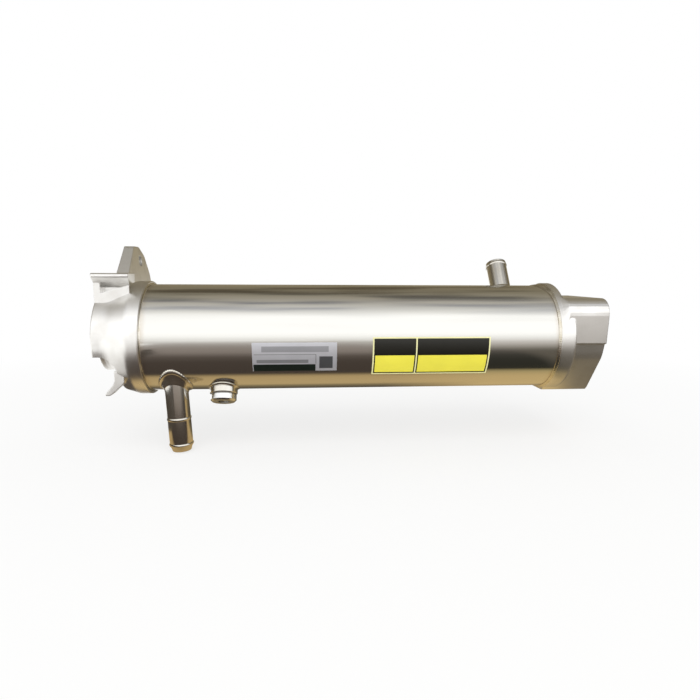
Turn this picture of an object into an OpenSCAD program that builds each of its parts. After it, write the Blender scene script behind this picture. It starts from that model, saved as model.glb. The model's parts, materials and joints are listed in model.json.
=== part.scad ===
// Shell-and-tube exhaust gas cooler.
// X runs along the shell from the gas inlet face, Y points away from the front, Z is up. Millimetres.

/* [Shell] */
// Outer diameter of the round shell
shell_od = 89; // [85:0.5:100]
// Wall of the shell
shell_wall = 1.5; // [1:0.1:2]
// Length of shell that shows between the two castings
shell_visible = 335; // [300:1:400]
// How far the shell enters the inlet casting
inlet_socket_depth = 8; // [6:0.5:9]
// How far the shell enters the outlet casting
outlet_socket_depth = 3.5; // [3:0.25:4]
// Gap left for braze metal or adhesive where two pieces fit together
braze_gap = 0.05; // [0.02:0.01:0.15]

/* [Tube bundle] */
// Outer diameter of one gas tube
tube_od = 8; // [6:0.25:9]
// Wall of one gas tube
tube_wall = 0.6; // [0.4:0.1:1]
// Width of the tube plate left outside the outermost tubes
tube_plate_rim = 4.5; // [2:0.25:6]
// Rings of tubes round the middle one
tube_rings = 3; // [2:1:3]
// Length of tube that stands out of each tube plate
tube_proud = 0.6; // [0.2:0.1:1]
// Thickness of the two tube plates
plate_thick = 3; // [2:0.25:4]
// Depth of the rear tube plate inside the shell's end
rear_plate_depth = 9.5; // [6:0.5:12]
// Number of baffles
baffle_count = 4; // [2:1:6]
// Thickness of one baffle
baffle_thick = 1.5; // [1:0.25:3]
// Height of the window cut from each baffle
baffle_window = 24; // [16:1:30]
// Running gap round a baffle and round the tubes through it
baffle_gap = 0.2; // [0.1:0.05:0.4]

/* [Inlet casting] */
// Length from the gas face to the edge of the socket rim
inlet_length = 37; // [34:0.5:44]
// Wall of the socket rim outside the shell
inlet_rim_wall = 2.7; // [2:0.1:4]
// Length of the plain socket rim
inlet_rim_length = 10; // [9.5:0.5:12]
// Radius lost from the rim to the gas flange
inlet_cone_drop = 5.75; // [4:0.25:8]
// Thickness of the gas flange, before the cone starts
inlet_flange_thick = 10; // [8:0.5:12]
// Radius that rounds the cone into the flange, and half of it into the rim
inlet_cone_round = 22; // [8:1:26]
// Diameter of the gas port
inlet_port_d = 42; // [34:1:44]

/* [Inlet bridge and ear] */
// Height of the bridge's flat top above the rim
bridge_rise = 6.25; // [4:0.25:9]
// Depth of the bridge, from its flat top to its underside
bridge_depth = 11; // [9:0.5:13]
// Length of the bridge along the shell
bridge_length = 29; // [26:0.5:32]
// Reach of the bridge's front edge from the axis
bridge_front = 36; // [33:0.5:40]
// Distance by which the bridge's front is undercut
bridge_undercut = 12; // [8:0.5:14]
// Distance of the web's front behind the bridge's front edge
web_setback = 8; // [5:0.5:10]
// Thickness of the web under the bridge
web_thick = 5; // [4:0.5:8]
// Height of the wedge left open under the bridge, beside the web
wedge_height = 4.5; // [3:0.5:6]
// Length of that wedge along the shell
wedge_length = 16; // [12:0.5:18]
// Depth of that wedge behind the web's front
wedge_depth = 6; // [4:0.5:10]
// Distance of the ear's bolt hole behind the axis
ear_hole_back = 45; // [42:0.5:48]
// Height of the ear's bolt hole above the bridge
ear_hole_rise = 11; // [9:0.5:16]
// Diameter of the ear's bolt hole
ear_hole_d = 9; // [7:0.5:11]
// Height of the ear's tip above its bolt hole
ear_tip_rise = 12.5; // [11:0.5:18]
// Width of the ear on each side of its bolt hole
ear_half_w = 13.5; // [12:0.5:17]
// Distance from the ear's bolt hole to its front root
ear_front_root = 48; // [42:0.5:52]
// Distance from the ear's bolt hole to its back root
ear_back_root = 30; // [22:0.5:34]
// Distance of the ear's face from the gas face
ear_setback = 6; // [3:0.5:8]
// Thickness of the ear at its tip
ear_tip_thick = 8; // [6:0.5:12]
// Thickness of the ear at its root
ear_root_thick = 11; // [9:0.5:16]
// Thickness of the lower claw
claw_thick = 8; // [6:0.5:10]
// Distance of the claw in front of the axis
claw_front = 33; // [30:0.5:35]
// Drop of the claw's tip below the axis
claw_drop = 42; // [40:0.5:45]
// Distance of the claw's tip from the gas face
claw_tip_x = 6.5; // [4:0.5:8]
// Radius of the groove round the lower part of the flange
hollow_r = 14.5; // [12:0.5:15]
// Distance of the groove's middle from the gas face
hollow_x = 3; // [1:0.25:4]
// Drop of the groove's start below the axis, at the gas face
hollow_drop = 11; // [9:0.5:14]
// Radius that rounds the groove's start
hollow_corner = 13; // [8:0.5:14]

/* [Outlet casting] */
// Length from the edge of the collar to the gas face
outlet_length = 41; // [39:0.5:50]
// Wall of the collar outside the shell
outlet_collar_wall = 2.1; // [1.5:0.1:3]
// Length of the collar
outlet_collar_length = 13.5; // [10:0.5:15]
// Radius that rounds the end of the collar
outlet_collar_round = 3; // [1:0.25:4]
// Distance of the block's upper corners from the edge of the collar
block_setback = 7.5; // [6:0.25:9]
// Length over which the collar blends into those corners
block_blend = 6; // [3:0.25:6]
// Distance of the block's flat top below the collar's top
block_top_drop = 12; // [10:0.5:13]
// Length of the collar that the flat top leaves whole
whole_collar = 6; // [5.5:0.25:8]
// Wall between the flat top and the gas way
outlet_wall = 2.5; // [2:0.25:4]
// Distance of the block's front behind the collar's front
block_front_drop = 3; // [1:0.25:4]
// Distance of the block's back in front of the collar's back
block_back_drop = 3.5; // [1:0.25:5]
// Distance of the block's flat bottom below the collar
block_bottom_rise = 0.5; // [0.3:0.1:3]
// Radius of the block's upper corners
block_corner_r = 13; // [8:0.5:14]
// Distance of the step in the block's front below the axis
block_step_z = 2.5; // [2:0.5:6]
// Depth of the step across the front of the block
block_step = 2.5; // [1:0.25:3.5]
// Lean of the block's front above the step
block_lean = 2.5; // [2:0.5:4]
// Diameter of the gas port
outlet_port_d = 40; // [32:1:42]
// Length of the plain gas port
outlet_port_length = 13; // [11:0.5:16]

/* [Gas flange bolts] */
// Diameter of the circle through the tapped holes
bolt_circle_d = 61; // [58:0.5:62]
// Tapped holes in the inlet flange
inlet_bolts = 2; // [1:1:2]
// Turn of the inlet's holes from straight up, in degrees
inlet_bolt_turn = 90; // [84:1:96]
// Tapped holes in the outlet flange
outlet_bolts = 4; // [2:1:4]
// Turn of the outlet's holes from straight up, in degrees
outlet_bolt_turn = 45; // [40:1:50]
// Diameter of one tapped hole
bolt_hole_d = 6.8; // [5:0.1:7]
// Depth of one tapped hole
bolt_hole_depth = 10; // [8:0.5:12]

/* [Coolant spigots] */
// Outer diameter of both spigots
spigot_od = 18.5; // [16:0.5:22]
// Wall of both spigots
spigot_wall = 1.4; // [1:0.1:2]
// Height of a hose bead above the spigot
bead_height = 0.5; // [0.3:0.1:1.2]
// Radius of a hose bead's round section
bead_round = 1.9; // [1.4:0.1:2.4]
// Radius by which the foot of a spigot is wider than the spigot
foot_flare = 2.4; // [1.5:0.1:4]
// Thickness of the foot on the shell
foot_edge = 1; // [0.6:0.1:1.5]
// Height of the narrower step of the foot
foot_height = 2.5; // [1.8:0.1:4]
// Distance of the inlet spigot's axis from the inlet rim
inlet_pipe_from_rim = 20.5; // [18:0.5:60]
// Distance of the inlet spigot's axis behind the front of the shell
inlet_pipe_inset = 18.5; // [17.5:0.5:28]
// Lean of the inlet spigot along the shell, in degrees
inlet_pipe_lean = 3; // [0:0.5:8]
// Length of the inlet spigot below the shell
inlet_pipe_length = 46; // [42:0.5:80]
// Distance of the lower bead from the inlet spigot's end
lower_bead_from_end = 5.4; // [4.5:0.1:8]
// Distance of the upper bead from the inlet spigot's end
upper_bead_from_end = 27; // [20:0.5:30]
// Radius that the inlet spigot's end narrows by
tip_narrowing = 1.8; // [0.5:0.1:2.5]
// Distance of the outlet spigot's axis from the outlet collar
outlet_pipe_from_collar = 26.5; // [20:0.5:60]
// Angle of the outlet spigot behind straight up
outlet_pipe_angle = 33; // [0:1:60]
// Length of the outlet spigot outside the shell
outlet_pipe_length = 31.5; // [24:0.5:60]
// Distance of the bead from the outlet spigot's end
outlet_bead_from_end = 3; // [2.5:0.1:6]

/* [Vent plug] */
// Distance of the vent from the inlet rim
vent_from_rim = 59.5; // [45:0.5:110]
// Angle of the vent in front of straight down
vent_angle = 25; // [0:1:40]
// Diameter of the vent boss
vent_boss_d = 22.5; // [20:0.5:26]
// Height of the vent boss above the shell
vent_boss_height = 5.5; // [4:0.5:9]
// Thickness of the sealing washer
washer_thick = 1; // [0.6:0.1:2]
// Diameter of the sealing washer
washer_d = 20; // [18:0.5:20.5]
// Diameter of the plug's head
plug_head_d = 21; // [18:0.5:22]
// Height of the plug's head
plug_head_height = 5.5; // [4.5:0.5:8]
// Chamfer round the plug's head
plug_chamfer = 1.4; // [0.6:0.1:2]
// Diameter of the plug's threaded shank
plug_shank_d = 14; // [10:0.5:15]
// Clearance round the shank, the thread's depth aside
thread_gap = 0.1; // [0.05:0.05:0.3]
// Width across the flats of the plug's hexagon socket
plug_socket_af = 10; // [6:0.5:12]
// Depth of the plug's hexagon socket
plug_socket_depth = 4; // [2:0.5:4]

/* [Labels] */
// Thickness of both labels
label_thick = 0.3; // [0.2:0.05:0.6]
// Distance of the data label from the inlet rim
data_label_from_rim = 85.5; // [75:0.5:100]
// Width of the data label along the shell
data_label_w = 66.5; // [50:0.5:75]
// Height of the data label round the shell
data_label_h = 24.5; // [18:0.5:32]
// Angle of the data label's top edge above the front
data_label_top = 0.5; // [-5:0.5:20]
// Distance of the two-tone label from the inlet rim
two_tone_from_rim = 180.5; // [165:0.5:200]
// Width of the two-tone label along the shell
two_tone_w = 95.5; // [80:0.5:110]
// Height of the two-tone label round the shell
two_tone_h = 33; // [24:0.5:38]
// Angle of the two-tone label's top edge above the front
two_tone_top = 5.5; // [-5:0.5:20]

/* [Hidden] */
$fn = 72;
shell_r = shell_od / 2;
shell_ir = shell_r - shell_wall;
rim_x = inlet_length;
collar_x = rim_x + shell_visible;
shell_x0 = rim_x - inlet_socket_depth;
shell_x1 = collar_x + outlet_socket_depth;
outlet_x = collar_x + outlet_length;
socket_r = shell_r + braze_gap;
inlet_rim_r = socket_r + inlet_rim_wall;
inlet_flange_r = inlet_rim_r - inlet_cone_drop;
bridge_top = inlet_rim_r + bridge_rise;
bridge_under = bridge_top - bridge_depth;
ear_hole_z = bridge_top + ear_hole_rise;
ear_tip_z = ear_hole_z + ear_tip_rise;
collar_r = socket_r + outlet_collar_wall;
block_x = collar_x + block_setback;
block_top = collar_r - block_top_drop;
block_front = collar_r - block_front_drop;
block_back = collar_r - block_back_drop;
block_bottom = collar_r + block_bottom_rise;

// Edges that every casting has
cast_edge = 1;
// Width of the ledge inside a socket that the shell's end stops on
socket_ledge = 1;
// Extra reach of a cut past the face that it opens
past = 1;

// The tubes start flush with the front end of the shell and stop inside its rear end
front_plate_x = shell_x0 + tube_proud;
rear_plate_x = shell_x1 - rear_plate_depth - plate_thick;
tube_x0 = front_plate_x - tube_proud;
tube_length = rear_plate_x + plate_thick + tube_proud - tube_x0;
plate_r = shell_ir - braze_gap;
tube_pitch = (plate_r - tube_plate_rim - tube_od / 2) / tube_rings;
baffle_r = shell_ir - baffle_gap;
baffle_step = (rear_plate_x - front_plate_x) / (baffle_count + 1);

// Hexagonal pattern, ring by ring from the middle tube outwards
tube_places = concat([[0, 0]], [
    for (ring = [1:tube_rings], side = [0:5], i = [0:ring - 1])
        let (from = hex_corner(ring, side), to = hex_corner(ring, side + 1)) from + (to - from) * i / ring
]);
tube_count = len(tube_places);

spigot_r = spigot_od / 2;
spigot_ir = spigot_r - spigot_wall;
inlet_pipe_x = rim_x + inlet_pipe_from_rim;
inlet_pipe_front = shell_r - inlet_pipe_inset;
inlet_pipe_reach = shell_r + inlet_pipe_length;
outlet_pipe_x = collar_x - outlet_pipe_from_collar;
vent_x = rim_x + vent_from_rim;
vent_face = shell_r + vent_boss_height;
// Chamfer round the boss
vent_edge = 0.6;

function hex_corner(ring, side) = ring * tube_pitch * [cos(60 * side), sin(60 * side)];
function baffle_name(i) = str("baffle_", i);
function tube_name(i) = str("gas_tube_", i < 10 ? "0" : "", i);

// Outline through corners given as [u, v, radius], with each corner rounded by an arc
function rounded(corners, steps = 8) = [
    for (i = [0:len(corners) - 1])
        let (
            n = len(corners),
            here = flat(corners[i]),
            back = unit(flat(corners[(i + n - 1) % n]) - here),
            ahead = unit(flat(corners[(i + 1) % n]) - here),
            half = acos(back * ahead) / 2,
            middle = here + unit(back + ahead) * corners[i][2] / sin(half),
            start = here + back * corners[i][2] / tan(half),
            stop = here + ahead * corners[i][2] / tan(half),
            a0 = bearing(start - middle),
            turn = wrap(bearing(stop - middle) - a0)
        )
        each corners[i][2] == 0 ? [here] : [
            for (k = [0:steps])
                let (a = a0 + turn * k / steps) middle + corners[i][2] * [cos(a), sin(a)]
        ]
];
function flat(p) = [p[0], p[1]];
function unit(v) = v / norm(v);
function bearing(v) = atan2(v[1], v[0]);
function wrap(a) = a > 180 ? a - 360 : a < -180 ? a + 360 : a;

// Solid of revolution about X, from points given as [radius, x]
module turned(profile) {
    rotate([0, 90, 0]) rotate_extrude() polygon(profile);
}

// Round bar about X
module bar(r, x0, x1) {
    translate([x0, 0, 0]) rotate([0, 90, 0]) cylinder(r = r, h = x1 - x0);
}

// Outline in Y and Z, drawn out along X
module along_x(x0, x1) {
    translate([x0, 0, 0]) rotate([90, 0, 90]) linear_extrude(x1 - x0) children();
}

// Outline in X and Z, drawn out along Y
module along_y(y0, y1) {
    translate([0, y1, 0]) rotate([90, 0, 0]) linear_extrude(y1 - y0) children();
}

// Places something that points up so that it points out of the shell, tilted back from straight up
module out_of_shell(x, tilt_back) {
    translate([x, 0, 0]) rotate([-tilt_back, 0, 0]) children();
}

// Places something that points up on the leaning axis of the inlet spigot
module on_inlet_pipe_axis() {
    translate([inlet_pipe_x, -inlet_pipe_front, 0]) rotate([0, 180 - inlet_pipe_lean, 0]) children();
}

module on_outlet_pipe_axis() {
    out_of_shell(outlet_pipe_x, outlet_pipe_angle) children();
}

module on_vent_axis() {
    out_of_shell(vent_x, 180 + vent_angle) children();
}

// Shell

module shell() {
    color("gainsboro") difference() {
        bar(shell_r, shell_x0, shell_x1);
        bar(shell_ir, shell_x0 - past, shell_x1 + past);
        on_inlet_pipe_axis() cylinder(r = spigot_ir, h = shell_od);
        on_outlet_pipe_axis() cylinder(r = spigot_ir, h = shell_od);
        on_vent_axis() cylinder(d = plug_shank_d + 2 * thread_gap, h = shell_od);
    }
}

// Tube bundle

module tube_holes(gap, x0, length) {
    for (place = tube_places)
        translate([x0 - past, place[0], place[1]]) rotate([0, 90, 0])
            cylinder(d = tube_od + 2 * gap, h = length + 2 * past);
}

module tube_plate(x0) {
    color("darkgray") difference() {
        bar(plate_r, x0, x0 + plate_thick);
        tube_holes(braze_gap, x0, plate_thick);
    }
}

module front_tube_plate() {
    tube_plate(front_plate_x);
}

module rear_tube_plate() {
    tube_plate(rear_plate_x);
}

module baffle(i) {
    x0 = front_plate_x + i * baffle_step;
    side = i % 2 == 0 ? 1 : -1;
    color("darkgray") difference() {
        bar(baffle_r, x0, x0 + baffle_thick);
        tube_holes(baffle_gap, x0, baffle_thick);
        translate([x0 - past, -shell_r, side * (baffle_r - baffle_window / 2) - baffle_window / 2])
            cube([baffle_thick + 2 * past, shell_od, baffle_window]);
    }
}

module gas_tube(i) {
    place = tube_places[i - 1];
    color("silver") translate([tube_x0, place[0], place[1]]) rotate([0, 90, 0]) difference() {
        cylinder(d = tube_od, h = tube_length);
        translate([0, 0, -past]) cylinder(d = tube_od - 2 * tube_wall, h = tube_length + 2 * past);
    }
}

// Inlet casting

module inlet_body() {
    cone_x = rim_x - inlet_rim_length;
    turned(rounded([
        [0, 0, 0], [inlet_flange_r, 0, cast_edge], [inlet_flange_r, inlet_flange_thick, inlet_cone_round],
        [inlet_rim_r, cone_x, inlet_cone_round / 2], [inlet_rim_r, rim_x, cast_edge], [0, rim_x, 0]
    ], 4));
}

// Flat-topped bar from the flange to the ear, undercut at its front, with a wedge left open in its web
module bridge() {
    edge = 2;
    back = ear_hole_back - ear_half_w;
    front = web_setback - bridge_front;
    root_z = inlet_flange_r / 2;
    web_top = bridge_under + bridge_depth / 2;
    wedge_x = web_thick + wedge_length;
    wedge_z = bridge_under - wedge_height;
    intersection() {
        union() {
            along_x(0, bridge_length) polygon(rounded([
                [-bridge_front, bridge_top, edge], [bridge_undercut - bridge_front, bridge_under, edge],
                [back, bridge_under, 0], [back, bridge_top, 0]
            ]));
            along_y(front, back) polygon([
                [0, root_z], [0, web_top], [web_thick, web_top], [web_thick, wedge_z],
                [wedge_x, bridge_under], [bridge_length, bridge_under + edge], [bridge_length, root_z]
            ]);
            along_y(front + wedge_depth, back - past) polygon([
                [web_thick - past, wedge_z - past], [web_thick - past, bridge_under + past],
                [wedge_x + past, bridge_under + past], [wedge_x + past, wedge_z - past]
            ]);
        }
        linear_extrude(bridge_top + past) polygon([
            [-past, -bridge_front - past], [bridge_length, -bridge_front - past],
            [ear_setback + ear_tip_thick, back + past], [-past, back + past]
        ]);
    }
}

// Ear whose outline is rounded round its bolt hole, and which grows thicker from its tip to its root
module bracket_ear() {
    crown = 10;
    heel = 14;
    root_z = bridge_under - inlet_flange_r / 2;
    face = ear_setback;
    intersection() {
        along_x(face, face + ear_root_thick) polygon(rounded([
            [ear_hole_back - ear_front_root, bridge_under, 0], [ear_hole_back - ear_half_w, ear_tip_z, 4],
            [ear_hole_back, ear_tip_z, crown], [ear_hole_back + ear_half_w, ear_hole_z + crown / 2, crown],
            [ear_hole_back + ear_back_root, bridge_under, heel], [inlet_flange_r - past, root_z, 0],
            [0, root_z, 0]
        ]));
        along_y(-shell_od, shell_od) polygon([
            [face, root_z], [face, ear_tip_z + past], [face + ear_tip_thick, ear_tip_z + past],
            [face + ear_root_thick, bridge_under], [face + ear_root_thick, root_z]
        ]);
    }
}

// Claw that reaches down and back across the groove from the cone
module lower_claw() {
    root_x = hollow_x + hollow_r;
    tip_w = 5;
    top_z = tip_w - claw_drop + hollow_r;
    low_z = 2 * tip_w - claw_drop;
    along_y(-claw_front - claw_thick / 2, claw_thick / 2 - claw_front) polygon(rounded([
        [root_x + tip_w, top_z, 0], [root_x - tip_w / 2, top_z, 0], [root_x - tip_w / 2, low_z, 8],
        [claw_tip_x, -claw_drop, 1], [claw_tip_x + tip_w, -claw_drop, 3], [root_x + tip_w, low_z, 3]
    ]));
}

// Groove round the lower part of the flange, whose start is rounded
module hollow() {
    end_x = hollow_x + hollow_r;
    intersection() {
        turned([for (a = [0:10:350]) [inlet_flange_r + hollow_r * cos(a), hollow_x + hollow_r * sin(a)]]);
        along_y(-shell_od, shell_od) polygon(rounded([
            [-rim_x, -hollow_drop, 0], [end_x, -hollow_drop, hollow_corner], [end_x, -shell_od, 0],
            [-rim_x, -shell_od, 0]
        ]));
    }
}

module inlet_gas_way() {
    bar(inlet_port_d / 2, -past, inlet_flange_thick);
    turned([
        [0, inlet_flange_thick - past], [inlet_port_d / 2, inlet_flange_thick - past],
        [inlet_port_d / 2, inlet_flange_thick], [shell_ir - socket_ledge, shell_x0 - socket_ledge],
        [shell_ir - socket_ledge, shell_x0], [0, shell_x0]
    ]);
    bar(socket_r, shell_x0 - braze_gap, rim_x + past);
}

module bolt_holes(face_x, depth_sign, count, turn) {
    for (i = [0:count - 1])
        rotate([turn + i * 360 / count, 0, 0]) translate([face_x - depth_sign * past, 0, bolt_circle_d / 2])
            rotate([0, depth_sign * 90, 0]) cylinder(d = bolt_hole_d, h = bolt_hole_depth + past);
}

module inlet_casting() {
    color("lightgray") difference() {
        union() {
            difference() {
                inlet_body();
                hollow();
            }
            lower_claw();
            bridge();
            bracket_ear();
        }
        inlet_gas_way();
        bolt_holes(0, 1, inlet_bolts, inlet_bolt_turn);
        translate([0, ear_hole_back, ear_hole_z]) bar(ear_hole_d / 2, 0, rim_x);
    }
}

// Outlet casting

module outlet_body() {
    shoulder_x = collar_x + outlet_collar_length;
    turned(rounded([
        [0, collar_x, 0], [collar_r, collar_x, cast_edge / 2], [collar_r, shoulder_x, outlet_collar_round],
        [0, shoulder_x, 0]
    ], 4));
}

// Outline of the block: flat top, leaning front with a step across it, and a lower front that slopes down
module block_outline() {
    step_y = block_lean - block_front;
    lower_y = step_y + block_step;
    knee = 14;
    toe = 15;
    edge = 3;
    polygon(rounded([
        [-block_front, block_top, block_corner_r], [step_y, -block_step_z, edge / 4],
        [lower_y, -block_step_z - edge / 4, edge / 4], [lower_y + edge, -knee, 2 * block_corner_r],
        [-toe, edge - block_bottom, edge], [edge - toe, -block_bottom, edge],
        [2 * toe, -block_bottom, 2 * edge], [block_back, -knee, block_corner_r],
        [block_back, block_top, block_corner_r]
    ]));
}

// Upper part of the outlet, above the step in the block's front
module above_step() {
    intersection() {
        children();
        translate([collar_x, -shell_od, -block_step_z - past / 2])
            cube([outlet_length, 2 * shell_od, shell_od]);
    }
}

// Block that the collar blends into above the step, with a chin that runs forward under the collar
module block() {
    slice = 0.5;
    along_x(block_x, outlet_x) block_outline();
    above_step() hull() {
        bar(collar_r - cast_edge, block_x - block_blend, block_x - block_blend + slice);
        along_x(block_x, block_x + slice) block_outline();
    }
    intersection() {
        along_x(collar_x + cast_edge, block_x + past) block_outline();
        translate([collar_x, -shell_od, -shell_od - block_step_z])
            cube([outlet_length, 2 * shell_od, shell_od]);
    }
}

// Space above the block's flat top, which leaves the first part of the collar whole
module above_flat_top() {
    translate([collar_x + whole_collar, -shell_od, block_top]) cube([outlet_length, 2 * shell_od, shell_od]);
}

module outlet_gas_way() {
    cone_end = outlet_x - outlet_port_length;
    mouth_r = block_top - outlet_wall;
    bar(socket_r, collar_x - past, shell_x1 + braze_gap);
    turned([
        [0, shell_x1], [mouth_r, shell_x1], [mouth_r, collar_x + whole_collar],
        [outlet_port_d / 2, cone_end], [outlet_port_d / 2, cone_end + past], [0, cone_end + past]
    ]);
    bar(outlet_port_d / 2, cone_end, outlet_x + past);
}

module outlet_casting() {
    color("silver") difference() {
        union() {
            outlet_body();
            block();
        }
        above_flat_top();
        outlet_gas_way();
        bolt_holes(outlet_x, -1, outlet_bolts, outlet_bolt_turn);
    }
}

// Coolant spigots

// Layer on the shell, inside which a spigot's widened root makes one step of its foot
module shell_layer(height) {
    intersection() {
        children();
        bar(shell_r + height, shell_x0, shell_x1);
    }
}

module foot_bar(extra) {
    cylinder(r = spigot_r + extra, h = shell_od);
}

module bead(height) {
    translate([0, 0, height]) rotate_extrude()
        translate([spigot_r + bead_height - bead_round, 0]) circle(r = bead_round);
}

module shell_space() {
    bar(shell_r + braze_gap, shell_x0, shell_x1);
}

// Tube with a swaged end
module swaged(r, length, tip, narrowing) {
    cylinder(r = r, h = length - tip);
    translate([0, 0, length - tip]) cylinder(r1 = r, r2 = r - narrowing, h = tip);
}

module coolant_inlet_pipe() {
    color("silver") difference() {
        union() {
            shell_layer(foot_edge) on_inlet_pipe_axis() foot_bar(foot_flare);
            shell_layer(foot_height) on_inlet_pipe_axis() foot_bar(foot_flare / 3);
            on_inlet_pipe_axis() {
                swaged(spigot_r, inlet_pipe_reach, lower_bead_from_end, tip_narrowing);
                bead(inlet_pipe_reach - lower_bead_from_end);
                bead(inlet_pipe_reach - upper_bead_from_end);
            }
        }
        shell_space();
        on_inlet_pipe_axis() {
            swaged(spigot_ir, inlet_pipe_reach, lower_bead_from_end, tip_narrowing);
            cylinder(r = spigot_ir - tip_narrowing, h = inlet_pipe_reach + past);
        }
    }
}

module coolant_outlet_pipe() {
    end = shell_r + outlet_pipe_length;
    color("silver") difference() {
        union() {
            shell_layer(foot_edge) on_outlet_pipe_axis() foot_bar(foot_flare);
            shell_layer(foot_height) on_outlet_pipe_axis() foot_bar(foot_flare / 3);
            on_outlet_pipe_axis() {
                cylinder(r = spigot_r, h = end);
                bead(end - outlet_bead_from_end);
            }
        }
        shell_space();
        on_outlet_pipe_axis() cylinder(r = spigot_ir, h = end + past);
    }
}

// Vent

module vent_boss() {
    r = vent_boss_d / 2;
    color("silver") difference() {
        on_vent_axis() rotate_extrude() polygon([
            [0, 0], [r, 0], [r, vent_face - vent_edge], [r - vent_edge, vent_face], [0, vent_face]
        ]);
        shell_space();
        on_vent_axis() cylinder(d = plug_shank_d + 2 * thread_gap, h = vent_face + past);
    }
}

module vent_washer() {
    color("dimgray") on_vent_axis() translate([0, 0, vent_face]) difference() {
        cylinder(d = washer_d, h = washer_thick);
        translate([0, 0, -past]) cylinder(d = plug_shank_d + 2 * thread_gap, h = washer_thick + 2 * past);
    }
}

module vent_plug() {
    seat = vent_face + washer_thick;
    top = seat + plug_head_height;
    r = plug_head_d / 2;
    color("lightgray") on_vent_axis() difference() {
        rotate_extrude() polygon([
            [0, shell_ir], [plug_shank_d / 2, shell_ir], [plug_shank_d / 2, seat], [r, seat],
            [r, top - plug_chamfer], [r - plug_chamfer, top], [0, top]
        ]);
        translate([0, 0, top - plug_socket_depth])
            cylinder(d = plug_socket_af / cos(30), h = plug_socket_depth + past, $fn = 6);
    }
}

// Labels

module label_skin(from_rim, w, h, top_angle) {
    r0 = shell_r + braze_gap;
    sweep = h / shell_r * 180 / PI;
    translate([rim_x + from_rim, 0, 0]) rotate([0, 90, 0]) rotate([0, 0, 270 - top_angle])
        rotate_extrude(angle = sweep) translate([r0, 0]) square([label_thick, w]);
}

module data_label() {
    color("whitesmoke") label_skin(data_label_from_rim, data_label_w, data_label_h, data_label_top);
}

module two_tone_label() {
    color("gold") label_skin(two_tone_from_rim, two_tone_w, two_tone_h, two_tone_top);
}

shell();
inlet_casting();
outlet_casting();
front_tube_plate();
rear_tube_plate();
for (i = [1:baffle_count]) baffle(i);
for (i = [1:tube_count]) gas_tube(i);
coolant_inlet_pipe();
coolant_outlet_pipe();
vent_boss();
vent_washer();
vent_plug();
data_label();
two_tone_label();
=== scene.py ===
"""Dresses the exhaust gas cooler with weld beads, threads, blank labels and metals, in a plain studio."""
from __future__ import annotations

import json
import logging
import math
from abc import ABC, abstractmethod
from collections.abc import Callable, Iterable, Sequence
from dataclasses import dataclass
from enum import Enum
from typing import Any

import bmesh
import bpy
from mathutils import Matrix, Vector

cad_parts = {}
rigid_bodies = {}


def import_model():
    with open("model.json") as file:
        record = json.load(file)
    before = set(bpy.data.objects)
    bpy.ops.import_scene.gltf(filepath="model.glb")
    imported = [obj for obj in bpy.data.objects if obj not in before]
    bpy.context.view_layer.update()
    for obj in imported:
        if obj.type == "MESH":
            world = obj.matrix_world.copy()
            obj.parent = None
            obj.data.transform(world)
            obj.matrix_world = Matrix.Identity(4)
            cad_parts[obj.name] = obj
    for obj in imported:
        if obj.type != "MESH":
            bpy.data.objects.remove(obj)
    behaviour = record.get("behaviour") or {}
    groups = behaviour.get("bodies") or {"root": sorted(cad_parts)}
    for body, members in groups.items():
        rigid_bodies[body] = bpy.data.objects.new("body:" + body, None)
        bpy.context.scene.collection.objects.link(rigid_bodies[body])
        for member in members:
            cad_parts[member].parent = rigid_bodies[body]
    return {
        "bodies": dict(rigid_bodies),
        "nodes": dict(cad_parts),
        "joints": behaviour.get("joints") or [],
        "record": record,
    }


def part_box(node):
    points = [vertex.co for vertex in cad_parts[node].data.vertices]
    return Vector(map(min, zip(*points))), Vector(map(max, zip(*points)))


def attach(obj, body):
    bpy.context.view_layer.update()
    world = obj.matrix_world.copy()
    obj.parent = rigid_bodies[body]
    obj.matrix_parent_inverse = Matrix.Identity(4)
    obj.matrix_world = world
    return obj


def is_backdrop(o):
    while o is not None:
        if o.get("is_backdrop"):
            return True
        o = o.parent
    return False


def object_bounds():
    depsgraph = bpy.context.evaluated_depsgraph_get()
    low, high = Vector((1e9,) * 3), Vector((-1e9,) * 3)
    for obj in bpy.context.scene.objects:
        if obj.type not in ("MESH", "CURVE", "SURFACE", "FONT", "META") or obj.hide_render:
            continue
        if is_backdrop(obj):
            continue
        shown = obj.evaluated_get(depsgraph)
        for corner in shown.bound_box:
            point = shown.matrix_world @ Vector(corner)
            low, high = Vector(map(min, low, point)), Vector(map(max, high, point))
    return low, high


Span = tuple[float, float]
Point = tuple[float, float, float]
Edges = tuple[float, float, float, float]
Profile = Sequence[Span]
Inputs = dict[Any, Any]
Tree = bpy.types.NodeTree
Node = bpy.types.Node
Socket = bpy.types.NodeSocket

LOG = logging.getLogger("gas_cooler")
MM = 0.001
BODY = "root"
WHITE = "#ffffff"
# Nearly all values of a noise lie in this range
NOISE: Span = (0.3, 0.7)
# Points of a mesh that are closer than this are one
SAME = 0.001 * MM
# Numbers of a mix node's two colour inputs and of its colour output, whose names it uses more than once
MIX_A, MIX_B, MIXED = 6, 7, 2


class Slot(Enum):
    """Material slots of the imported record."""

    SHELL = "shell_steel"
    CAST = "cast_steel"
    SPIGOT = "spigot_steel"


def linear(code: str) -> tuple[float, float, float, float]:
    """Turns an sRGB hex colour to linear light.

    Args:
        code: Six hex digits after a hash.

    Returns:
        Red, green, blue and an alpha of one.
    """
    parts = [int(code[i:i + 2], 16) / 255 for i in (1, 3, 5)]
    r, g, b = (p / 12.92 if p <= 0.04045 else ((p + 0.055) / 1.055) ** 2.4 for p in parts)
    return r, g, b, 1.0


def per_mm(size: float) -> float:
    """Gives the scale of a pattern whose cells are this many millimetres wide, on coordinates in metres."""
    return 1 / (size * MM)


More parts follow.
